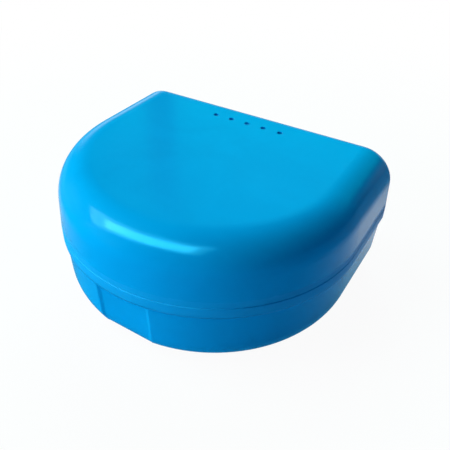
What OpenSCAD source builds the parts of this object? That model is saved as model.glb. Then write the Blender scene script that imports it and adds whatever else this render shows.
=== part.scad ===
// Dental appliance box: a D-shaped two-shell case with a lid hinged at its flat rear wall.

/* [Overall size] */
// Width of the box, which is the diameter of its half-round front
box_w = 80; // [74:1:90]
// Straight run of each side, from the rear wall to the half-round front
side_len = 24.5; // [20:0.5:32]
// Height of the lid above the parting line
lid_h = 15.6; // [14:0.2:24]
// Height of the base below the parting line
base_h = 19.9; // [18:0.1:26]

/* [Shells] */
// Thickness of the lid's and the base's walls
wall = 2; // [1.8:0.1:2.4]
// Lean of the side walls, for the mould
draft = 3; // [1:0.5:5]
// Radius of the lid's shoulder, round its front and sides
lid_r = 8.6; // [6:0.2:10]
// Radius of the base's lower edge, round its front and sides
foot_r = 7.2; // [5:0.2:9]
// Rounding of the outer edges of the flat rear wall
rear_r = 2.5; // [1.8:0.1:3]
// Rounding inside the shells, along the rear wall
inner_rear_r = 1.2; // [0.8:0.1:2]

/* [Rim] */
// Height of the band round the top of the base
band_h = 3.3; // [2.5:0.1:4]
// How far the base's wall stands back below the band
band_step = 0.35; // [0.3:0.05:0.8]
// Bevel on the band's outer edges
band_ease = 0.25; // [0.1:0.05:0.3]
// Line of air between the closed lid and the band
seam_gap = 0.1; // [0.05:0.05:0.2]
// Thickness of the lid's skirt outside the tongue
skirt_t = 1.1; // [1:0.05:1.2]
// Height of the tongue on the base
tongue_h = 2; // [1.8:0.1:2.6]
// Air between the tongue and the lid's skirt
lap_gap = 0.2; // [0.15:0.05:0.25]
// Air between the top of the tongue and the lid
lap_air = 0.3; // [0.2:0.05:0.5]

/* [Snap] */
// Radius of the snap bead's section
bead_r = 0.5; // [0.4:0.05:0.6]
// How far the snap bead stands out of the tongue
bead_proud = 0.14; // [0.1:0.01:0.14]
// Height of the snap bead above the parting line
bead_z = 1; // [0.9:0.05:1.1]
// Arc of the half-round front that the snap bead covers, in degrees
bead_arc = 34; // [20:2:60]
// Air round the snap bead in its groove
groove_air = 0.35; // [0.3:0.05:0.4]
// How much further the groove runs at each end, in degrees
groove_over = 1; // [0.5:0.5:3]

/* [Vents] */
// Number of vent holes
vent_count = 5; // [3:2:7]
// Diameter of a vent hole
vent_d = 1.5; // [1:0.1:2.5]
// Distance between the centres of two vent holes
vent_pitch = 4.95; // [4:0.05:6]
// Distance from the rear wall to the vent holes
vent_inset = 7.1; // [6:0.1:12]

/* [Thumb recess] */
// Width of the recess at its flat floor
recess_w = 13.2; // [10:0.2:16]
// Depth of the floor below the front of the base
recess_d = 1.1; // [0.9:0.1:1.3]
// Angle at which each side of the recess rises from the floor
recess_flare = 20; // [15:1:60]
// How much lower the floor's own lower edge lies, so that the recess runs out on the base's
recess_drop = 0.65; // [0.4:0.05:1.2]

/* [Underside] */
// Width of the rim that the box stands on
rest_w = 3.5; // [2.5:0.5:6]
// Depth of the hollow panel inside that rim
rest_d = 0.5; // [0.3:0.1:0.8]

/* [Hinge] */
// Diameter of a hinge pin
pin_d = 2; // [1.6:0.1:2.2]
// Radial running clearance of the lid's knuckles on their pins
pin_play = 0.05; // [0.03:0.01:0.08]
// Radial squeeze of the base's ears on their pins
pin_squeeze = 0.01; // [0.005:0.005:0.02]
// Bevel on the ends of a hinge pin
pin_ease = 0.3; // [0.2:0.05:0.4]
// Outer radius of the knuckles and the ears
barrel_r = 2.6; // [2.4:0.1:2.8]
// Distance of the hinge axis behind the rear wall
axis_out = 3.2; // [3:0.1:4]
// Distance from each side of the box to the middle of its hinge
hinge_in = 20; // [16:1:24]
// Length of the lid's knuckle
knuckle_len = 8; // [6:0.5:12]
// Length of each of the two ears beside a knuckle
ear_len = 4; // [3:0.5:6]
// Air between a knuckle and the ear beside it
ear_gap = 0.3; // [0.2:0.05:0.5]
// End wall left in the inner ear behind the pin
ear_end = 1; // [0.6:0.1:1.5]
// Height of the web that carries a knuckle or an ear
web_h = 7; // [5:0.5:9]

/* [Hidden] */
$fn = 96;
shell_colour = [0, 0.62, 0.87];
pin_colour = [0, 0.5, 0.76];

half_w = box_w / 2;
pin_r = pin_d / 2;
// The draft to within a thousandth of a degree, with a short cosine that keeps flush faces flush
lean = acos(round(cos(draft) * 100000) / 100000);
// A shell's form: its half width at the parting line, its height and its edge radius
lid_form = [half_w, lid_h - seam_gap, lid_r];
base_form = [half_w - band_step, base_h, foot_r];
tongue_t_out = skirt_t + lap_gap;
// Inset of the hollow panel in the underside
panel_t = half_w - edge_centre(base_form)[0] + rest_w;
// Places along one hinge's axis, measured from the middle of the box
hinge_x = half_w - hinge_in;
ear_x = hinge_x + knuckle_len / 2 + ear_gap;
hinge_end = ear_x + ear_len;
pin_len = knuckle_len + 2 * ear_gap + 2 * ear_len - ear_end;
// Whole depth of the box, from its front to the back of the knuckles
depth = side_len + half_w + axis_out + barrel_r;
far = 2 * box_w;
past = 1;

// Distance from the middle plane to the leaning wall, inset by t, at height z
function wall_x(f, t, z) = f[0] - t / cos(lean) - z * tan(lean);

// Distance v, rounded to whole thousandths of a millimetre
function tidy(v) = round(v * 1000) / 1000;

// Centre of a form's edge radius, in its cross section
function edge_centre(f) = [tidy(wall_x(f, f[2], f[1] - f[2])), f[1] - f[2]];

// Direction from c to the point where a line from p touches the circle of radius r about c
function touch_turn(c, r, p) = atan2(p[1] - c[1], p[0] - c[0]) - acos(r / norm(p - c));

// Puts what is drawn at the parting line, with the rear wall at y = 0, into the box's own frame
module placed() {
    translate([0, depth / 2 - axis_out - barrel_r, base_h]) children();
}

// Both halves of a drawing or a solid that is the same on the left and on the right
module both() {
    for (side = [0, 1]) mirror([side, 0, 0]) children();
}

// Sweep of a half cross section round the half-round front and back along both sides
module swept(rear) {
    translate([0, -side_len, 0]) rotate([0, 0, 180]) rotate_extrude(angle = 180) children();
    translate([0, -rear, 0]) rotate([90, 0, 0]) linear_extrude(side_len - rear) both() children();
}

// Quarter of a disc, to the right of the origin and above it
module quarter_disc(r) {
    intersection() {
        circle(r);
        square(2 * r);
    }
}

// Right half of a form's cross section, inset by t, down to a given distance below z = 0
module half_section(f, t, below) {
    c = edge_centre(f);
    r = f[2] - t;
    translate([0, -below]) square([c[0], c[1] + r + below]);
    intersection() {
        translate(c) rotate(lean) {
            quarter_disc(r);
            translate([-r, -far]) square([2 * r, far]);
        }
        translate([c[0], -below]) square(far);
    }
}

// Strip of a given reach and width e, with the far corner at y = 0 rounded by e
module rounded_strip(reach, e) {
    square([reach - e, e]);
    translate([reach - e, e]) mirror([0, 1]) quarter_disc(e);
}

// Solid with a shell's form inset by t, whose flat rear at y = -rear has edges rounded by e
module form_solid(f, t, rear, e, below = 0) {
    c = edge_centre(f);
    r = f[2] - t;
    swept(rear + e) half_section(f, t, below);
    translate([0, -rear, 0]) {
        rotate([90, 0, 0]) linear_extrude(e) both()
            polygon([[0, -below], [wall_x(f, t + e, -below), -below], c, [0, c[1]]]);
        translate([-c[0], 0, c[1]]) rotate([90, 0, 90]) linear_extrude(2 * c[0])
            rotate(90) rounded_strip(r, e);
        both() translate([c[0], 0, c[1]]) {
            intersection() {
                rotate([90, -lean, 0]) rotate_extrude(angle = 90) rounded_strip(r, e);
                translate([0, -far / 2, -far / 2]) cube(far);
            }
            intersection() {
                rotate([0, -lean, 0]) translate([0, 0, -far]) linear_extrude(far)
                    mirror([0, 1]) rounded_strip(r, e);
                translate([-far / 2, -far / 2, -below - c[1]]) cube(far);
            }
        }
    }
}

// Upright solid with the box's outline seen from above, inset by t, its edges eased by e
module slab(t, rear, corner, h, e) {
    r = half_w - t;
    swept(rear + corner) eased_strip(r, h, e);
    both() translate([r - corner, -rear - corner, 0]) rotate_extrude(angle = 90)
        eased_strip(corner, h, e);
    translate([-r + corner, -rear - corner, 0]) rotate([90, 0, 90]) linear_extrude(2 * (r - corner))
        eased_strip(corner, h, e);
    translate([-r + corner, -rear - 2 * corner, 0]) cube([2 * (r - corner), 2 * corner - e, h]);
}

// Strip of a given reach and height, with both outer corners bevelled by e
module eased_strip(reach, h, e) {
    polygon([[0, 0], [reach - e, 0], [reach, e], [reach, h - e], [reach - e, h], [0, h]]);
}

// Side view of a knuckle or an ear: a barrel on the hinge axis, and a web up to web_h on the wall
// at y = -back that starts at z = low
module barrel_and_web(back, low) {
    centre = [axis_out, 0];
    root = [-back, web_h];
    translate(centre) circle(barrel_r);
    intersection() {
        translate(centre) rotate(touch_turn(centre, barrel_r, root)) translate([-far, 0])
            square([far + barrel_r, far]);
        translate([-back - past, low]) square([axis_out + back + past + barrel_r, web_h + past]);
    }
}

// Knuckle or ear of a given length, from x = from to the right
module hinge_piece(from, length, back, low) {
    translate([from, 0, 0]) rotate([90, 0, 90]) linear_extrude(length) barrel_and_web(back, low);
}

// Bore of radius r along the hinge axis, from x = from to the right
module bore(r, from, length) {
    translate([from, axis_out, 0]) rotate([0, 90, 0]) cylinder(r = r, h = length);
}

// Half-round ridge along the front of the tongue, or the groove for it
module snap_ridge(r, arc) {
    translate([0, -side_len, 0]) rotate([0, 0, -90 - arc / 2]) rotate_extrude(angle = arc)
        translate([wall_x(lid_form, tongue_t_out, bead_z) + bead_proud - bead_r, bead_z]) circle(r);
}

// Cross section of the thumb recess, above its floor at x = r
module recess_section(r) {
    rise = recess_d + past;
    flared = recess_w / 2 + rise / tan(recess_flare);
    polygon([[r, -recess_w / 2], [r, recess_w / 2], [r + rise, flared], [r + rise, -flared]]);
}

// Space that the thumb recess takes out of the base: it runs down the front wall and round a lower
// edge of its own, which comes out of the base's lower edge
module recess_space() {
    c = edge_centre(base_form) + [-recess_d, recess_drop];
    intersection() {
        translate([0, -side_len - c[0], c[1]]) rotate([90, 0, -90]) rotate(lean) {
            rotate_extrude(angle = 90) recess_section(foot_r);
            rotate([90, 0, 0]) linear_extrude(base_h) recess_section(foot_r);
        }
        translate([-far / 2, -far, band_h]) cube(far);
    }
}

// The base's tongue, which the lid's skirt closes over
module tongue() {
    intersection() {
        form_solid(lid_form, tongue_t_out, tongue_t_out, inner_rear_r);
        translate([-far / 2, -far / 2, 0]) cube([far, far, tongue_h]);
    }
    snap_ridge(bead_r, bead_arc);
}

module base_shell() {
    color(shell_colour) placed() difference() {
        union() {
            mirror([0, 0, 1]) difference() {
                form_solid(base_form, 0, band_step, rear_r);
                recess_space();
            }
            translate([0, 0, -band_h]) slab(0, 0, rear_r, band_h, band_ease);
            tongue();
            mirror([0, 0, 1]) both() {
                hinge_piece(ear_x, ear_len, band_step, 0);
                hinge_piece(2 * hinge_x - hinge_end, ear_len, band_step, 0);
            }
        }
        mirror([0, 0, 1])
            form_solid(base_form, wall, band_step + wall, inner_rear_r, tongue_h + past);
        both() bore(pin_r - pin_squeeze, hinge_end - pin_len, pin_len + past);
        translate([0, 0, -base_h - past])
            slab(panel_t, band_step + rear_r + rest_w, foot_r, past + rest_d, 0);
    }
}

module lid_shell() {
    color(shell_colour) placed() difference() {
        union() {
            translate([0, 0, seam_gap]) form_solid(lid_form, 0, 0, rear_r);
            both() hinge_piece(hinge_x - knuckle_len / 2, knuckle_len, 0, seam_gap);
        }
        translate([0, 0, seam_gap]) form_solid(lid_form, wall, wall, inner_rear_r);
        intersection() {
            form_solid(lid_form, skirt_t, skirt_t, inner_rear_r);
            translate([-far / 2, -far / 2, 0]) cube([far, far, tongue_h + lap_air]);
        }
        snap_ridge(bead_r + groove_air, bead_arc + 2 * groove_over);
        for (i = [0 : vent_count - 1])
            translate([(i - (vent_count - 1) / 2) * vent_pitch, -vent_inset, lid_h - 2 * wall])
                cylinder(d = vent_d, h = 3 * wall);
        both() bore(pin_r + pin_play, hinge_x - knuckle_len, 2 * knuckle_len);
    }
}

// Hinge pin of the right hinge
module hinge_pin() {
    color(pin_colour) placed() translate([hinge_end - pin_len, axis_out, 0]) rotate([0, 90, 0])
        rotate_extrude() eased_strip(pin_r, pin_len, pin_ease);
}

module hinge_pin_left() {
    mirror([1, 0, 0]) hinge_pin();
}

module hinge_pin_right() {
    hinge_pin();
}

base_shell();
lid_shell();
hinge_pin_left();
hinge_pin_right();
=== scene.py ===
import math

import bpy
from mathutils import Matrix, Vector

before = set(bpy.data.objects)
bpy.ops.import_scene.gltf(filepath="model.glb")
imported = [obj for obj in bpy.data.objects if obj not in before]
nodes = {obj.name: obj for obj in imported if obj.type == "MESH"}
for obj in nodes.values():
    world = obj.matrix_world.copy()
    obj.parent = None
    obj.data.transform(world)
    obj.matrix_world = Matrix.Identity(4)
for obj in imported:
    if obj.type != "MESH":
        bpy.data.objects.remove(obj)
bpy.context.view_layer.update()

white = (1, 1, 1, 1)
black = (0, 0, 0, 1)
upwards = (0, 0, 1)
print("frame loaded:", ", ".join(sorted(nodes)))


# Shader maths as Python expressions: a Link holds one output of one node tree
class Link:
    def __init__(self, tree, socket):
        self.tree = tree
        self.socket = socket

    def math(self, operation, *values):
        return shaderNode(self.tree, "ShaderNodeMath", {"operation": operation}, values)

    def __add__(self, other):
        return self.math("ADD", self, other)

    __radd__ = __add__

    def __sub__(self, other):
        return self.math("SUBTRACT", self, other)

    def __rsub__(self, other):
        return self.math("SUBTRACT", other, self)

    def __mul__(self, other):
        return self.math("MULTIPLY", self, other)

    __rmul__ = __mul__

    def __abs__(self):
        return self.math("ABSOLUTE", self)

    def clamped(self):
        return shaderNode(self.tree, "ShaderNodeClamp", {}, {"Value": self})

    def feed(self, socket):
        self.tree.links.new(self.socket, socket)


# Adds a node, sets its settings first and then its sockets, and returns its first or named output
def shaderNode(tree, kind, settings, sockets, output=0):
    node = tree.nodes.new(kind)
    for name, value in settings.items():
        setattr(node, name, value)
    pairs = sockets.items() if isinstance(sockets, dict) else enumerate(sockets)
    for key, value in pairs:
        if isinstance(value, Link):
            value.feed(node.inputs[key])
        else:
            node.inputs[key].default_value = value
    return Link(tree, node.outputs[output])


# Where the Mix node keeps its A, its B and its result, for colours and for vectors
mixSockets = {"RGBA": (6, 7, 2), "VECTOR": (4, 5, 1)}


def mix(tree, factor, first, second, kind="RGBA", how="MIX"):
    a, b, result = mixSockets[kind]
    return shaderNode(tree, "ShaderNodeMix", {"data_type": kind, "blend_type": how},
                      {0: factor, a: first, b: second}, result)


# Vector Math, for the operations that give a vector
def vector(tree, operation, *values):
    return shaderNode(tree, "ShaderNodeVectorMath", {"operation": operation}, values)


# Vector Math, for the operations that give a number
def measure(tree, operation, *values):
    return shaderNode(tree, "ShaderNodeVectorMath", {"operation": operation}, values, "Value")


def dot(tree, first, second):
    return measure(tree, "DOT_PRODUCT", first, second)


# 0 before start and 1 past end, with soft ends; start may be the larger one
def ramp(tree, value, start, end):
    if start > end:
        return 1 - ramp(tree, value, end, start)
    return shaderNode(tree, "ShaderNodeMapRange", {"interpolation_type": "SMOOTHSTEP"},
                      {"Value": value, "From Min": start, "From Max": end})


def coordinates(tree, kind):
    return shaderNode(tree, "ShaderNodeTexCoord", {}, {}, kind)


def rayIs(tree, kind):
    return shaderNode(tree, "ShaderNodeLightPath", {}, {}, "Is %s Ray" % kind)


# 1 where the camera sees a surface itself, and not its mirror image or its light
def seenDirectly(tree):
    return (rayIs(tree, "Camera") + rayIs(tree, "Transmission")).clamped()


# Unit vector from a heading and a height, both in degrees; heading 0 is +X and 90 is the rear
def aim(heading, height=0):
    heading, height = math.radians(heading), math.radians(height)
    across = math.cos(height)
    return Vector((math.cos(heading) * across, math.sin(heading) * across, math.sin(height)))


def addObject(name, data):
    thing = bpy.data.objects.new(name, data)
    bpy.context.scene.collection.objects.link(thing)
    return thing


# The photograph was taken from the front right, looking down
camera = {
    "heading": -56.77,  # degrees from +X; the front is at -90
    "height": 36.38,  # degrees above the floor
    "roll": 0.15,
    "distance": 0.1411,
    "target": (0, -0.0029, 0.0199),  # middle of the parting plane, without the hinges
    "sensor": 36,
    "lens": 43.42,
    "shift": (0.0631, -0.023),
    "nearest": 0.005,  # nothing closer than this shows
}


def makeCamera(spec):
    data = bpy.data.cameras.new("camera")
    data.sensor_width = spec["sensor"]
    data.lens = spec["lens"]
    data.shift_x, data.shift_y = spec["shift"]
    data.clip_start = spec["nearest"]
    eye = addObject("camera", data)
    back = aim(spec["heading"], spec["height"])
    right = aim(spec["heading"] + 90)
    turn = Matrix.Rotation(math.radians(spec["roll"]), 3, "Z")
    axes = Matrix((right, back.cross(right), back)).transposed() @ turn
    place = Vector(spec["target"]) + back * spec["distance"]
    eye.matrix_world = Matrix.Translation(place) @ axes.to_4x4()
    bpy.context.scene.camera = eye


makeCamera(camera)
bpy.context.scene.view_settings.view_transform = "Standard"
print("camera placed")

# A white floor that keeps a faint shadow. In the box's gloss the floor is a painted glow: a painted blue shade
# of the box at the front, and white in a ring round the rear. Distances are from the middle of the box's
# underside
floorPaper = {
    "size": 6.0,
    "colour": (0.9, 0.9, 0.9, 1),
    "bounce": (0.5, 0.58, 0.73, 1),  # its colour for the light that it throws back up
    "roughness": 0.9,
    "glow": 0.95,  # how much of the floor that the camera sees is plain white
    "glowFade": (0.08, 0.24),  # distances over which it turns all white
    # painted shade: the box's blue shade on the floor, as its gloss shows it at the front
    "mirrored": (0.008, 0.25, 0.42, 1),  # its colour in the gloss at the front
    "whiteSide": (-0.3, 0.95, 0),  # it turns white in the gloss in this direction
    "whiteFrom": (-0.04, 0.055),  # places along that direction where the white starts and is full
    "whiteStrength": 0.75,
    # painted shade: close to the box the white in the gloss is dimmed to a share, as if the box shaded the
    # floor
    "ringStart": (0.037, 0.062),  # distances over which the white grows
    "nearShadeShare": 0.4,  # the share of it that is there before that
    "ringEnd": (0.066, 0.118),  # distances over which it dims again
    "ringDimming": 0.87,
}


def makeFloor(spec):
    half = spec["size"] / 2
    corners = [(-half, -half, 0), (half, -half, 0), (half, half, 0), (-half, half, 0)]
    mesh = bpy.data.meshes.new("floor")
    mesh.from_pydata(corners, [], [(0, 1, 2, 3)])
    floor = addObject("floor", mesh)
    material = bpy.data.materials.new("floorPaper")
    material.use_nodes = True
    tree = material.node_tree
    paper = tree.nodes["Principled BSDF"]
    paper.inputs["Roughness"].default_value = spec["roughness"]
    seen = seenDirectly(tree)
    mix(tree, seen, spec["bounce"], spec["colour"]).feed(paper.inputs["Base Color"])

    place = coordinates(tree, "Object")
    reach = measure(tree, "LENGTH", place)
    fade = spec["glow"] + (1 - spec["glow"]) * ramp(tree, reach, *spec["glowFade"])
    # In the gloss alone the floor glows as a painted reflection, with the painted shade of the box in front
    # and near it
    mirrored = rayIs(tree, "Glossy") * (1 - seen)
    sheen = spec["whiteStrength"] * ramp(tree, dot(tree, place, spec["whiteSide"]), *spec["whiteFrom"])
    sheen = sheen * (spec["nearShadeShare"] + (1 - spec["nearShadeShare"]) * ramp(tree, reach, *spec["ringStart"]))
    sheen = sheen * (1 - spec["ringDimming"] * ramp(tree, reach, *spec["ringEnd"]))
    glow = mix(tree, seen, mix(tree, sheen, spec["mirrored"], white), white)
    glowing = shaderNode(tree, "ShaderNodeEmission", {}, {"Color": glow, "Strength": 1.0})
    shader = shaderNode(tree, "ShaderNodeMixShader", {}, {
        0: seen * fade + mirrored, 1: Link(tree, paper.outputs[0]), 2: glowing})
    shader.feed(tree.nodes["Material Output"].inputs["Surface"])
    mesh.materials.append(material)


# White for the camera, and almost dark for matt surfaces. The gloss mirrors a white backdrop, low behind
# the box, and above it two cyan sheets with a gap between them, which shows as a faint strip on the lid.
# A heading holds its middle and the angles to each side where it has faded out and where it is full
surroundings = {
    "matt": (0.008, 0.028, 0.085, 1),
    "mirrored": 0.012,  # the white that comes from all round in the gloss
    "backdrop": 1.0,
    "backdropHeading": (105, 52, 30),
    "backdropHeight": (19, 7),  # degrees above the floor where it starts to show and is full
    "sheets": (0.0, 1.0, 1.0, 1),
    "sheetsHeading": (96, 57, 30),
    "sheetsBottom": (16, 24),  # degrees above the floor where they start and are full
    "sheetsTop": (62, 50),  # and where they end and are full
    "gapHeading": 127.4,
    "gapHalf": (1.2, 1.8),  # degrees to each side where it is dark and where it ends
}


# 1 round the heading's middle and 0 at its far sides
def towardsHeading(tree, towards, middle, outer, inner):
    ahead = dot(tree, towards, aim(middle))
    return ramp(tree, ahead, math.cos(math.radians(outer)), math.cos(math.radians(inner)))


# As ramp, for a value that is the sine of an angle, between two angles in degrees
def rampAngle(tree, value, start, end):
    return ramp(tree, value, math.sin(math.radians(start)), math.sin(math.radians(end)))


def makeWorld(spec):
    world = bpy.data.worlds.new("studio")
    world.use_nodes = True
    bpy.context.scene.world = world
    tree = world.node_tree
    towards = coordinates(tree, "Generated")
    up = dot(tree, towards, upwards)
    backdrop = towardsHeading(tree, towards, *spec["backdropHeading"])
    backdrop = backdrop * rampAngle(tree, up, *spec["backdropHeight"])
    sheets = towardsHeading(tree, towards, *spec["sheetsHeading"])
    sheets = sheets * rampAngle(tree, up, *spec["sheetsBottom"]) * rampAngle(tree, up, *spec["sheetsTop"])
    aside = abs(dot(tree, towards, aim(spec["gapHeading"] - 90)))  # sine of the angle off the gap's middle
    narrow, wide = (math.radians(value) for value in spec["gapHalf"])
    sheets = sheets * ramp(tree, aside, narrow, wide)

    glow = mix(tree, (spec["mirrored"] + spec["backdrop"] * backdrop).clamped(), black, white)
    glow = mix(tree, 1.0, glow, mix(tree, sheets, black, spec["sheets"]), how="ADD")
    colour = mix(tree, rayIs(tree, "Glossy"), spec["matt"], glow)
    mix(tree, seenDirectly(tree), colour, white).feed(tree.nodes["Background"].inputs["Color"])


# Soft lamps that face the box, with heading and height in degrees, sides in metres and power in watts.
# "along" is the direction of the first side. The broad ones only light the plastic. The strips only show
# in its gloss, where the core is the bright middle of the highlight
broadLamp = {"strip": False, "along": upwards, "size": (0.8, 0.8)}
mirroredLamp = {"strip": True, "height": 50, "colour": (1, 1, 1)}
lamps = {
    "frontLamp": dict(broadLamp, heading=226, height=12, power=20.5, colour=(0.88, 0.95, 1)),
    "lowLamp": dict(broadLamp, heading=186, height=5, power=12, colour=(0.6, 1, 0.5)),
    "leftLamp": dict(broadLamp, heading=203, height=53, power=12.3, colour=(0.5, 1, 0.87)),
    "rearLamp": dict(broadLamp, heading=118, height=40, power=11.7, colour=(0.5, 1, 0.93)),
    "stripLamp": dict(mirroredLamp, heading=239, along=(1, 0, 0), size=(2.2, 0.85), power=19),
    "stripCore": dict(mirroredLamp, heading=244, along=(1, 0, 0.03), size=(1.5, 0.5), power=23),
}
lampDistance = 1.5


def makeLamp(name, spec):
    data = bpy.data.lights.new(name, "AREA")
    data.shape = "RECTANGLE"
    data.size, data.size_y = spec["size"]
    data.energy = spec["power"]
    data.color = spec["colour"]
    lamp = addObject(name, data)
    lamp.visible_glossy = spec["strip"]
    lamp.visible_diffuse = not spec["strip"]
    away = aim(spec["heading"], spec["height"])
    along = Vector(spec["along"])
    side = (along - away * away.dot(along)).normalized()
    axes = Matrix((side, away.cross(side), away)).transposed()
    lamp.matrix_world = Matrix.Translation(away * lampDistance) @ axes.to_4x4()


makeFloor(floorPaper)
makeWorld(surroundings)
for name, spec in lamps.items():
    makeLamp(name, spec)
print("studio lit")

# Glossy moulded plastic, in metres. Reliefs are in millimetres, and a pair of heights, places or noise
# values says where something starts and where it is full
shellPlastic = {
    "deep": (0.0, 0.352, 0.79, 1),
    "pale": (0.0, 0.378, 0.83, 1),
    "clouds": {"size": 0.022, "detail": 3.0, "distortion": 1.2, "cut": (0.3, 0.7)},
    "cloudShare": 0.8,  # how much of the drift from deep to pale the clouds make
    "specks": {"size": 0.0007, "detail": 1.0},
    "speckShare": 0.2,
    "sheen": (0.05, 0.75, 1.0, 1),  # tint of what it mirrors face on
    "gloss": 0.5,  # how strongly it mirrors; 0.5 is plain plastic
    "roughness": 0.11,
    "smudges": {"size": 0.014, "detail": 4.0, "distortion": 0.6, "cut": (0.5, 0.72)},
    "smudgeDulling": 0.05,
    "peel": {"size": 0.0018, "detail": 1.0},  # the slight unevenness that shows in a moulded gloss
    "peelRelief": 0.003,
    "scratches": ((0.4, 0.0011, 0.02), (-0.9, 0.0009, 0.015)),  # heading in radians, spacing and length
    "scratchCut": (0.71, 0.76),
    "scratchDulling": 0.06,
    "scratchRelief": 0.0015,
    "rub": {"size": 0.004, "detail": 5.0, "cut": (0.42, 0.6)},  # wear on the rim that it stands on
    "rubHeight": (0.0005, 0.0001),
    "rubColour": (0.05, 0.45, 0.8, 1),
    "rubShare": 0.5,
    "rubDulling": 0.35,
    "middle": (0, 0, 0.0199),  # the inside's faces look towards it
    "insideFacing": (-0.001, -0.004),
    "insideDulling": 0.3,
    "grain": {"size": 0.00022, "detail": 2.0},  # the inside's spark-eroded grain
    "grainRelief": 0.004,
    "marks": ((0.021, 0.012), (0.017, -0.014)),  # ejector marks on the floor and the ceiling, on both sides
    "markRadius": (0.00268, 0.0026),
    "markPolish": 0.1,
    "markRelief": 0.03,
    "seamRise": (0.0165, 0.0171),  # heights over which the rims round the seam turn duller
    "seamFall": (0.0222, 0.0211),
    "seamDulling": 0.3,
    "seamRoll": (0.0222, 0.0176),  # heights over which the rims roll outwards
    "seamRelief": 0.25,
    "bandEdge": (0.0165, 0.0174),  # heights over which the band's lower edge is rounded
    "bandRelief": 0.3,
    "edge": 0.0001,  # rounding of every edge
    "recessEdge": 0.0006,  # rounding of the thumb recess's edges
    "recessSide": (0.0115, 0.0095),  # distances from the middle plane
    "recessTop": (0.0163, 0.0158),
    "recessFront": (-0.027, -0.029),
}
pinPlastic = dict(shellPlastic, deep=(0.0, 0.27, 0.58, 1), pale=(0.0, 0.3, 0.62, 1), roughness=0.2,
                  edge=0.00008)
bevelSamples = 6
millimetre = 0.001


def noise(tree, place, size, detail, distortion=0.0):
    return shaderNode(tree, "ShaderNodeTexNoise", {}, {
        "Vector": place, "Scale": 1 / size, "Detail": detail, "Distortion": distortion})


# Soft-edged patches of noise
def patches(tree, place, size, detail, cut, distortion=0.0):
    return ramp(tree, noise(tree, place, size, detail, distortion), *cut)


# Fine straight scratches along one heading, as thin stretched patches of noise
def scratchMask(tree, place, cut, heading, spacing, length):
    stretched = shaderNode(tree, "ShaderNodeMapping", {}, {
        "Vector": place, "Rotation": (0, 0, heading), "Scale": (1 / length, 1 / spacing, 1 / length)})
    return patches(tree, stretched, size=1.0, detail=0.0, cut=cut)


# 1 on the faces that look towards the middle of the box
def insideMask(tree, place, spec):
    fromMiddle = vector(tree, "SUBTRACT", place, spec["middle"])
    return ramp(tree, dot(tree, coordinates(tree, "Normal"), fromMiddle), *spec["insideFacing"])


# 1 on the round ejector marks, with the left side mirroring the right
def markMask(tree, place, spec):
    flat = vector(tree, "MULTIPLY", vector(tree, "ABSOLUTE", place), (1, 0, 0))
    flat = vector(tree, "ADD", flat, vector(tree, "MULTIPLY", place, (0, 1, 0)))
    distances = [measure(tree, "DISTANCE", flat, (x, y, 0)) for x, y in spec["marks"]]
    return sum(ramp(tree, distance, *spec["markRadius"]) for distance in distances)


# 1 round the thumb recess, low on the front wall
def recessMask(tree, place, height, spec):
    side = ramp(tree, abs(dot(tree, place, (1, 0, 0))), *spec["recessSide"])
    front = ramp(tree, dot(tree, place, (0, 1, 0)), *spec["recessFront"])
    return side * ramp(tree, height, *spec["recessTop"]) * front


# Normal with the edges rounded by a radius
def roundedEdges(tree, radius):
    return shaderNode(tree, "ShaderNodeBevel", {"samples": bevelSamples}, {"Radius": radius})


# What the colour, the roughness and the relief are worked out from
def surfaceMasks(tree, spec):
    place = coordinates(tree, "Object")
    height = dot(tree, place, upwards)
    inside = insideMask(tree, place, spec)
    cut = spec["scratchCut"]
    return {
        "place": place,
        "height": height,
        "inside": inside,
        "outside": 1 - inside,
        "marks": markMask(tree, place, spec) * inside,
        "scratches": sum(scratchMask(tree, place, cut, *scratch) for scratch in spec["scratches"]),
        "rub": ramp(tree, height, *spec["rubHeight"]) * patches(tree, place, **spec["rub"]),
    }


def plasticColour(tree, spec, surface):
    clouds = patches(tree, surface["place"], **spec["clouds"])
    specks = noise(tree, surface["place"], **spec["specks"])
    drift = (clouds * spec["cloudShare"] + specks * spec["speckShare"]).clamped()
    colour = mix(tree, drift, spec["deep"], spec["pale"])
    return mix(tree, surface["rub"] * spec["rubShare"], colour, spec["rubColour"])


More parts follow.
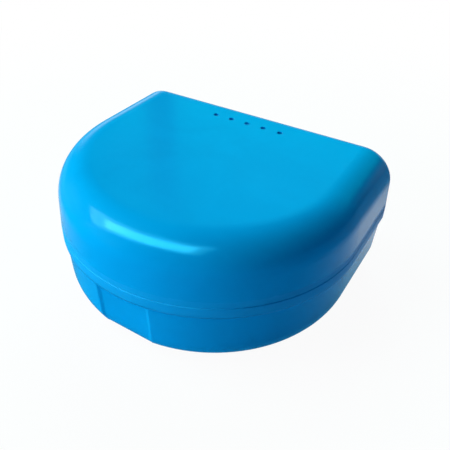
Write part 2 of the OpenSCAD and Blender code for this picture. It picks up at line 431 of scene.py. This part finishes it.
def plasticRoughness(tree, spec, surface):
    height = surface["height"]
    smudges = patches(tree, surface["place"], **spec["smudges"])
    seam = ramp(tree, height, *spec["seamRise"]) * ramp(tree, height, *spec["seamFall"])
    seam = seam * surface["outside"]
    roughness = spec["roughness"] + spec["smudgeDulling"] * smudges
    roughness = roughness + spec["scratchDulling"] * surface["scratches"] + spec["rubDulling"] * surface["rub"]
    roughness = roughness + spec["insideDulling"] * surface["inside"] - spec["markPolish"] * surface["marks"]
    return (roughness + spec["seamDulling"] * seam).clamped()


def plasticNormal(tree, spec, surface, isBase):
    place, height, outside = surface["place"], surface["height"], surface["outside"]
    peel = noise(tree, place, **spec["peel"]) * spec["peelRelief"]
    roll = ramp(tree, height, *spec["seamRoll"]) * spec["seamRelief"]
    grain = noise(tree, place, **spec["grain"]) * spec["grainRelief"]
    relief = (peel + roll - surface["scratches"] * spec["scratchRelief"]) * outside
    relief = relief + grain * surface["inside"] + surface["marks"] * spec["markRelief"]
    normal = roundedEdges(tree, spec["edge"])
    if isBase:
        relief = relief + ramp(tree, height, *spec["bandEdge"]) * spec["bandRelief"] * outside
        recess = recessMask(tree, place, height, spec)
        normal = mix(tree, recess, normal, roundedEdges(tree, spec["recessEdge"]), "VECTOR")
        normal = vector(tree, "NORMALIZE", normal)
    return shaderNode(tree, "ShaderNodeBump", {}, {
        "Distance": millimetre, "Height": relief, "Normal": normal})


def makePlastic(name, spec, isBase=False):
    material = bpy.data.materials.new(name)
    material.use_nodes = True
    tree = material.node_tree
    surface = surfaceMasks(tree, spec)
    shader = tree.nodes["Principled BSDF"]
    plasticColour(tree, spec, surface).feed(shader.inputs["Base Color"])
    plasticRoughness(tree, spec, surface).feed(shader.inputs["Roughness"])
    plasticNormal(tree, spec, surface, isBase).feed(shader.inputs["Normal"])
    shader.inputs["Specular Tint"].default_value = spec["sheen"]
    shader.inputs["Specular IOR Level"].default_value = spec["gloss"]
    return material


baseShell = makePlastic("baseShellPlastic", shellPlastic, isBase=True)
lidShell = makePlastic("lidShellPlastic", shellPlastic)
pin = makePlastic("hingePinPlastic", pinPlastic)
finishes = {"base_shell": baseShell, "lid_shell": lidShell, "hinge_pin_left": pin, "hinge_pin_right": pin}
for name, material in finishes.items():
    nodes[name].data.materials.clear()
    nodes[name].data.materials.append(material)
print("plastic finishes assigned:", ", ".join(sorted(finishes)))
